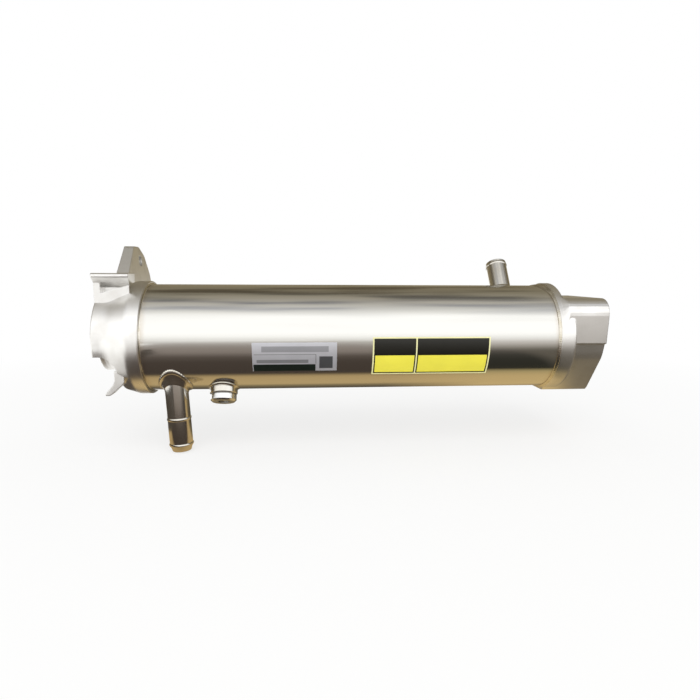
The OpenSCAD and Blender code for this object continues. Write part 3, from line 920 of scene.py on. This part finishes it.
@dataclass
class Studio:
    """Floor, soft light and camera.

    Attributes:
        low: Lowest point of the object, in metres.
        middle: Middle of the object on the floor, in metres.
        eye: Place of the camera, in metres.
        yaw: Turn of the camera to the right of straight ahead, in degrees.
        pitch: Tilt of the camera below the horizon, in degrees.
        roll: Roll of the camera, in degrees.
        lens: Focal length of the camera, in millimetres.
        sensor: Width of the camera's sensor, in millimetres.
        near: Distance at which the camera begins to see, in metres.
        floor_reach: Distance from the floor's middle to its sides, in metres.
        floor_gap: Gap between the object and the floor, in millimetres.
        matt: Colour of the floor's paper.
        shade: Share of plain white in the floor under the object.
        shadow: Distances from the middle between which the shadow fades out, in metres.
        board_end: Place of the board's left end along the shell, in metres.
        board_skew: Slant of that end, as distance along the shell for each metre behind it.
        board_blur: Half width of that end's blur, in metres.
        stretches: Further stretches of the bench, each with the places along the shell, in metres, between
            which it takes over from the one before.
        room_light: Brightness of the room as plain light, where it isn't mirrored.
        patch_scale: Number of ceiling patches for each radian.
        patch_span: Values of the noise between which a ceiling patch becomes a beam.
        lamp_size: Width and height of the lamp, in metres.
        lamp_power: Power of the lamp, in watts.
        lamp_place: Place of the lamp, in metres.
        lamp_aim: Place that the lamp points at, in metres.
    """

    low: float
    middle: Span
    eye: Point = (0.16435, -0.45935, 0.05329)
    yaw: float = 4.807
    pitch: float = 8.076
    roll: float = 0.287
    lens: float = 27.35
    sensor: float = 36.0
    near: float = 0.01
    floor_reach: float = 8.0
    floor_gap: float = 0.5
    matt: str = "#f2f2f0"
    shade: float = 0.72
    shadow: Span = (0.25, 0.7)
    board_end: float = 0.005
    board_skew: float = 0.45
    board_blur: float = 0.008
    stretches: tuple[tuple[Span, Surroundings], ...] = (
        ((0.24, 0.34), BENCH_RIGHT), ((0.4, 0.425), BENCH_END))
    room_light: float = 0.75
    patch_scale: float = 3.2
    patch_span: Span = (0.45, 0.6)
    lamp_size: Span = (1.4, 0.9)
    lamp_power: float = 9.0
    lamp_place: Point = (0.15, -0.9, 1.1)
    lamp_aim: Point = (0.2, 0.0, 0.0)

    def camera(self) -> None:
        """Makes the camera at the photograph's viewing angle."""
        yaw, pitch, roll = (math.radians(a) for a in (self.yaw, self.pitch, self.roll))
        ahead = Vector((math.sin(yaw) * math.cos(pitch), math.cos(yaw) * math.cos(pitch), -math.sin(pitch)))
        level = ahead.cross(Vector((0, 0, 1))).normalized()
        top = level.cross(ahead)
        right = level * math.cos(roll) + top * math.sin(roll)
        up = right.cross(ahead)
        data = bpy.data.cameras.new("camera")
        data.lens = self.lens
        data.sensor_width = self.sensor
        data.clip_start = self.near
        camera = bpy.data.objects.new("camera", data)
        turned = Matrix((right, up, -ahead)).transposed().to_4x4()
        camera.matrix_world = Matrix.Translation(Vector(self.eye)) @ turned
        bpy.context.scene.collection.objects.link(camera)
        bpy.context.scene.camera = camera

    def bench(self, tree: Tree, place: Node) -> Socket:
        """Gives the colour of bench and paper that metal shows.

        Args:
            tree: Node tree to add to.
            place: Node that gives the place on the floor as X and Y.

        Returns:
            The socket with the colour.
        """
        x, y = place.outputs["X"], place.outputs["Y"]
        colour = BENCH.colour(tree, y)
        for (start, end), stretch in self.stretches:
            taken = add(tree, "ShaderNodeMapRange", {"Value": x, "From Min": start, "From Max": end})
            joined = add(tree, "ShaderNodeMix", {
                "Factor": taken.outputs[0], MIX_A: colour, MIX_B: stretch.colour(tree, y)}, data_type="RGBA")
            colour = joined.outputs[MIXED]
        askew = add(tree, "ShaderNodeMath", {0: y, 1: -self.board_skew, 2: x}, operation="MULTIPLY_ADD")
        beside = add(tree, "ShaderNodeMath", {0: askew.outputs[0], 1: self.board_end}, operation="SUBTRACT")
        past = beside.outputs[0]
        board = add(tree, "ShaderNodeMapRange", {
            "Value": past, "From Min": -self.board_blur, "From Max": self.board_blur})
        shown = add(tree, "ShaderNodeMix", {
            "Factor": board.outputs[0], MIX_A: PAPER.colour(tree, past), MIX_B: colour}, data_type="RGBA")
        return shown.outputs[MIXED]

    def paper(self) -> bpy.types.Material:
        """Makes matt paper that is white to the camera, keeps the shadow and shows metal a bench.

        Returns:
            The material.
        """
        material, tree = blank("matt white paper")
        place = add(tree, "ShaderNodeTexCoord").outputs["Object"]
        path = add(tree, "ShaderNodeLightPath")
        matt = add(tree, "ShaderNodeBsdfDiffuse", {"Color": linear(self.matt)})
        glow = add(tree, "ShaderNodeEmission", {"Color": linear(WHITE), "Strength": 1.0})
        off = add(tree, "ShaderNodeVectorMath", {0: place, 1: (*self.middle, self.low)}, operation="DISTANCE")
        near, far = self.shadow
        bright = add(tree, "ShaderNodeMapRange", {
            "Value": off.outputs["Value"], "From Min": near, "From Max": far, "To Min": self.shade})
        share = add(tree, "ShaderNodeMath", {
            0: path.outputs["Is Camera Ray"], 1: bright.outputs[0]}, operation="MULTIPLY")
        seen = add(tree, "ShaderNodeMixShader", {0: share.outputs[0], 1: matt.outputs[0], 2: glow.outputs[0]})
        shown = self.bench(tree, add(tree, "ShaderNodeSeparateXYZ", {0: place}))
        mirrored = add(tree, "ShaderNodeEmission", {"Color": shown, "Strength": BENCH.strength})
        whole = add(tree, "ShaderNodeMixShader", {
            0: path.outputs["Is Glossy Ray"], 1: seen.outputs[0], 2: mirrored.outputs[0]})
        add(tree, "ShaderNodeOutputMaterial", {"Surface": whole.outputs[0]})
        return material

    def floor(self) -> None:
        """Makes the floor just below the object."""
        made = bmesh.new()
        bmesh.ops.create_grid(made, x_segments=1, y_segments=1, size=self.floor_reach)
        bmesh.ops.translate(made, vec=(0, 0, self.low - self.floor_gap * MM), verts=made.verts)
        floor = linked(made, "floor")
        floor.data.materials.append(self.paper())
        floor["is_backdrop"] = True

    def world(self) -> None:
        """Makes an even white room whose soft box, ceiling and wall show only in the metal."""
        world = bpy.data.worlds.new("studio")
        bpy.context.scene.world = world
        world.use_nodes = True
        tree = world.node_tree
        tree.nodes.clear()
        ways = add(tree, "ShaderNodeSeparateXYZ", {0: add(tree, "ShaderNodeTexCoord").outputs["Generated"]})
        angle = front_angle(tree, ways)
        degrees = add(tree, "ShaderNodeMath", {0: angle}, operation="DEGREES").outputs[0]
        spread = add(tree, "ShaderNodeCombineXYZ", {"X": ways.outputs["X"], "Y": angle})
        patches = add(tree, "ShaderNodeTexNoise", {"Vector": spread.outputs[0], "Scale": self.patch_scale})
        clear, covered = self.patch_span
        beams = add(tree, "ShaderNodeMapRange", {
            "Value": patches.outputs["Fac"], "From Min": clear, "From Max": covered})
        shown = add(tree, "ShaderNodeMix", {
            "Factor": beams.outputs[0], MIX_A: ROOM.colour(tree, degrees),
            MIX_B: BEAMS.colour(tree, degrees)}, data_type="RGBA")
        mirrored = add(tree, "ShaderNodeBackground", {
            "Color": shown.outputs[MIXED], "Strength": ROOM.strength})
        room = add(tree, "ShaderNodeBackground", {"Color": linear(WHITE), "Strength": self.room_light})
        seen = add(tree, "ShaderNodeBackground", {"Color": linear(WHITE), "Strength": 1.0})
        path = add(tree, "ShaderNodeLightPath")
        unseen = add(tree, "ShaderNodeMixShader", {
            0: path.outputs["Is Glossy Ray"], 1: room.outputs[0], 2: mirrored.outputs[0]})
        whole = add(tree, "ShaderNodeMixShader", {
            0: path.outputs["Is Camera Ray"], 1: unseen.outputs[0], 2: seen.outputs[0]})
        add(tree, "ShaderNodeOutputWorld", {"Surface": whole.outputs[0]})

    def lamp(self) -> None:
        """Makes one broad soft box above the front, which lights the labels and the paper."""
        data = bpy.data.lights.new("soft_box", "AREA")
        data.shape = "RECTANGLE"
        data.size, data.size_y = self.lamp_size
        data.energy = self.lamp_power
        lamp = bpy.data.objects.new("soft_box", data)
        place = Vector(self.lamp_place)
        lamp.matrix_world = axis_frame(place, place - Vector(self.lamp_aim))
        lamp.visible_glossy = False
        bpy.context.scene.collection.objects.link(lamp)

    def build(self) -> None:
        """Sets up the whole studio."""
        bpy.context.scene.view_settings.view_transform = "Standard"
        self.camera()
        self.floor()
        for card in CARDS:
            card.place(self.low)
        self.world()
        self.lamp()


@dataclass
class Cooler:
    """The whole cooler: its CAD nodes, dressed, and the pieces that are added to them.

    Attributes:
        nodes: The frame's nodes by name.
        mounts: The record's mounts by name.
        spigot_foot: Weld at the foot of each spigot.
        vent_foot: Weld at the foot of the vent boss.
        vent_angle: Lean of the vent boss from straight down to the front, in degrees.
        panel_split: Share of the two-tone label's width that its left panel takes.
        black_share: Share of the two-tone label's height above its yellow fields.
        rim: Width of the two-tone label's rim, in millimetres along the shell and in degrees round it.
        line: Width of the black line round each yellow field, in the same way.
    """

    nodes: dict[str, bpy.types.Object]
    mounts: dict[str, dict[str, Any]]
    spigot_foot: Fillet = Fillet(toe=3.9, rise=4.6, lip=0.6)
    vent_foot: Fillet = Fillet(toe=1.6, rise=1.8, lip=0.4)
    vent_angle: float = 25.0
    panel_split: float = 0.37
    black_share: float = 0.45
    rim: Span = (1.1, 1.4)
    line: Span = (1.0, 1.5)

    def named(self, test: Callable[[str], bool]) -> list[str]:
        """Lists the nodes whose names pass a test."""
        return sorted(name for name in self.nodes if test(name))

    def frame_of(self, mount: str) -> Matrix:
        """Gives the frame on a mount's axis."""
        stated = self.mounts[mount]
        return axis_frame(Vector(stated["pos_m"]), Vector(stated["axis"]))

    def label_edges(self, node: str) -> Edges:
        """Measures a label.

        Args:
            node: Name of the label.

        Returns:
            Its left and right edges in metres, and its lower and upper edges in degrees above the front.
        """
        low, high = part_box(node)
        angles = [math.degrees(math.atan2(v.co.z, -v.co.y)) for v in self.nodes[node].data.vertices]
        return low.x, high.x, min(angles), max(angles)

    def silver_label(self) -> None:
        """Dresses the silver label in its blank fields."""
        edges = self.label_edges("data_label")
        fields = tuple(field.on(edges) for field in SILVER_FIELDS)
        # Silver film is pale grey, with a soft metal sheen
        film = PrintedFilm("silver polyester film", "#dfe0e7", roughness=0.36, metallic=0.6, fields=fields)
        dress(["data_label"], self.nodes, film.make())

    def yellow_label(self) -> None:
        """Dresses the two-tone label in two black panels with a yellow field in each."""
        x0, x1, a0, a1 = self.label_edges("two_tone_label")
        divide = x0 + self.panel_split * (x1 - x0)
        split = a1 - self.black_share * (a1 - a0)
        rim, line = self.rim[0] * MM, self.line[0] * MM
        rim_angle, line_angle = self.rim[1], self.line[1]
        fields: list[Field] = []
        for left, right in ((x0 + rim, divide - rim / 2), (divide + rim / 2, x1 - rim)):
            fields.append(Field("#17160f", (left, right), (a0 + rim_angle, a1 - rim_angle)))
            fields.append(Field("#fdf24f", (left + line, right - line), (a0 + rim_angle + line_angle, split)))
        # Yellow film is strong flat colour, with a slight gloss
        film = PrintedFilm("yellow polyester film", "#f8f4b8", roughness=0.34, metallic=0.0,
                           fields=tuple(fields))
        dress(["two_tone_label"], self.nodes, film.make())

    def metals(self) -> bpy.types.Material:
        """Dresses every metal node.

        Returns:
            The casting's material, for the threads.
        """
        seams = (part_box("inlet_casting")[1].x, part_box("outlet_casting")[0].x)
        # Polished tube mirrors the room in long bands, a little blurred by its streaks
        shell = PolishedTube("bright polished stainless tube", "#d8d7d3", roughness=0.13, welds=seams)
        dress(["shell"], self.nodes, shell.make())
        # Satin castings are pale and soft-edged, and mirror nothing clearly
        cast = GrainedMetal("satin investment cast stainless", "#eae9e7", roughness=0.32, edge=1.0,
                            shade="#d3d0cb")
        casting = cast.make()
        dress(["inlet_casting", "outlet_casting"], self.nodes, casting)
        # Drawn tube is bright and smooth, and a little warmer than the shell
        drawn = GrainedMetal("bright drawn stainless", "#d6d3cc", roughness=0.16, grain=0.6,
                             grain_depth=0.008, shade="#c4bcad")
        dress(["coolant_inlet_pipe", "coolant_outlet_pipe", "vent_boss"], self.nodes, drawn.make())
        # Zinc plate is pale, cool and fairly bright
        plug = GrainedMetal("bright zinc plate", "#e4e4e3", roughness=0.2, grain=0.5, grain_depth=0.01,
                            edge=0.4, shade="#c9cbcc")
        dress(["vent_plug"], self.nodes, plug.make())
        # Soft aluminium is a dull middle grey
        washer = GrainedMetal("dull soft aluminium", "#9a9894", roughness=0.45, grain=0.4, shade="#7d7a75")
        dress(["vent_washer"], self.nodes, washer.make())
        # Mill finish is greyish and half dull
        core = GrainedMetal("mill finished stainless", "#bdb8ae", roughness=0.34, grain=0.7, shade="#9c917c")
        inner = self.named(lambda n: n.startswith(("gas_tube", "baffle")) or n.endswith("tube_plate"))
        dress(inner, self.nodes, core.make())
        return casting

    def welds(self) -> None:
        """Adds the weld metal on the shell."""
        shell_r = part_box("shell")[1].z / MM
        # Brushed weld metal is warm and cloudy, with a soft gloss
        weld = GrainedMetal("brushed weld metal", "#dbd7ce", roughness=0.2, grain=0.7, cloud=6.0,
                            shade="#c2b79d")
        material = weld.make()
        inlet_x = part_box("inlet_casting")[1].x / MM
        outlet_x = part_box("outlet_casting")[0].x / MM
        ShellSeams(shell_r, inlet_x, outlet_x).build(material)
        for name in ("coolant_inlet", "coolant_outlet"):
            mount = name + "_spigot"
            r = self.mounts[mount]["dims"]["r_mm"]
            SaddleWeld(name + "_weld", self.frame_of(mount), r, self.spigot_foot, shell_r).build(material)
        low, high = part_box("vent_boss")
        tilt = math.radians(self.vent_angle)
        out = Vector((0, -math.sin(tilt), -math.cos(tilt)))
        frame = axis_frame(Vector(((low.x + high.x) / 2, 0, 0)), out)
        r = (high.x - low.x) / 2 / MM
        SaddleWeld("vent_weld", frame, r, self.vent_foot, shell_r).build(material)

    def threads(self, material: bpy.types.Material) -> None:
        """Adds the threads in the tapped holes.

        Args:
            material: Material of the castings.
        """
        dims = self.mounts["inlet_flange_bolts"]["dims"]
        half = dims["spacing_x_mm"] / 2
        inlet = TappedHoles("inlet_threads", face_x=0.0, inward=1, places=[(-half, 0.0), (half, 0.0)],
                            hole_r=dims["hole_r_mm"])
        inlet.build(material)
        stated = self.mounts["outlet_flange_bolts"]
        dims = stated["dims"]
        half = dims["spacing_x_mm"] / 2
        corners = [(y * half, z * half) for y in (-1, 1) for z in (-1, 1)]
        outlet = TappedHoles("outlet_threads", face_x=stated["pos_m"][0] / MM, inward=-1, places=corners,
                             hole_r=dims["hole_r_mm"])
        outlet.build(material)

    def build(self) -> None:
        """Dresses the nodes and adds every piece."""
        casting = self.metals()
        self.silver_label()
        self.yellow_label()
        self.welds()
        self.threads(casting)


def main() -> None:
    """Loads the frame, measures it, and builds the cooler and its studio."""
    logging.basicConfig(level=logging.INFO, format="%(name)s: %(message)s")
    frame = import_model()
    cad_low, cad_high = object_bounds()
    mounts = {mount["name"]: mount for mount in frame["record"]["mounts"]}
    Cooler(frame["nodes"], mounts).build()
    middle = (cad_low + cad_high) / 2
    Studio(cad_low.z, (middle.x, middle.y)).build()


if __name__ == "__main__":
    main()
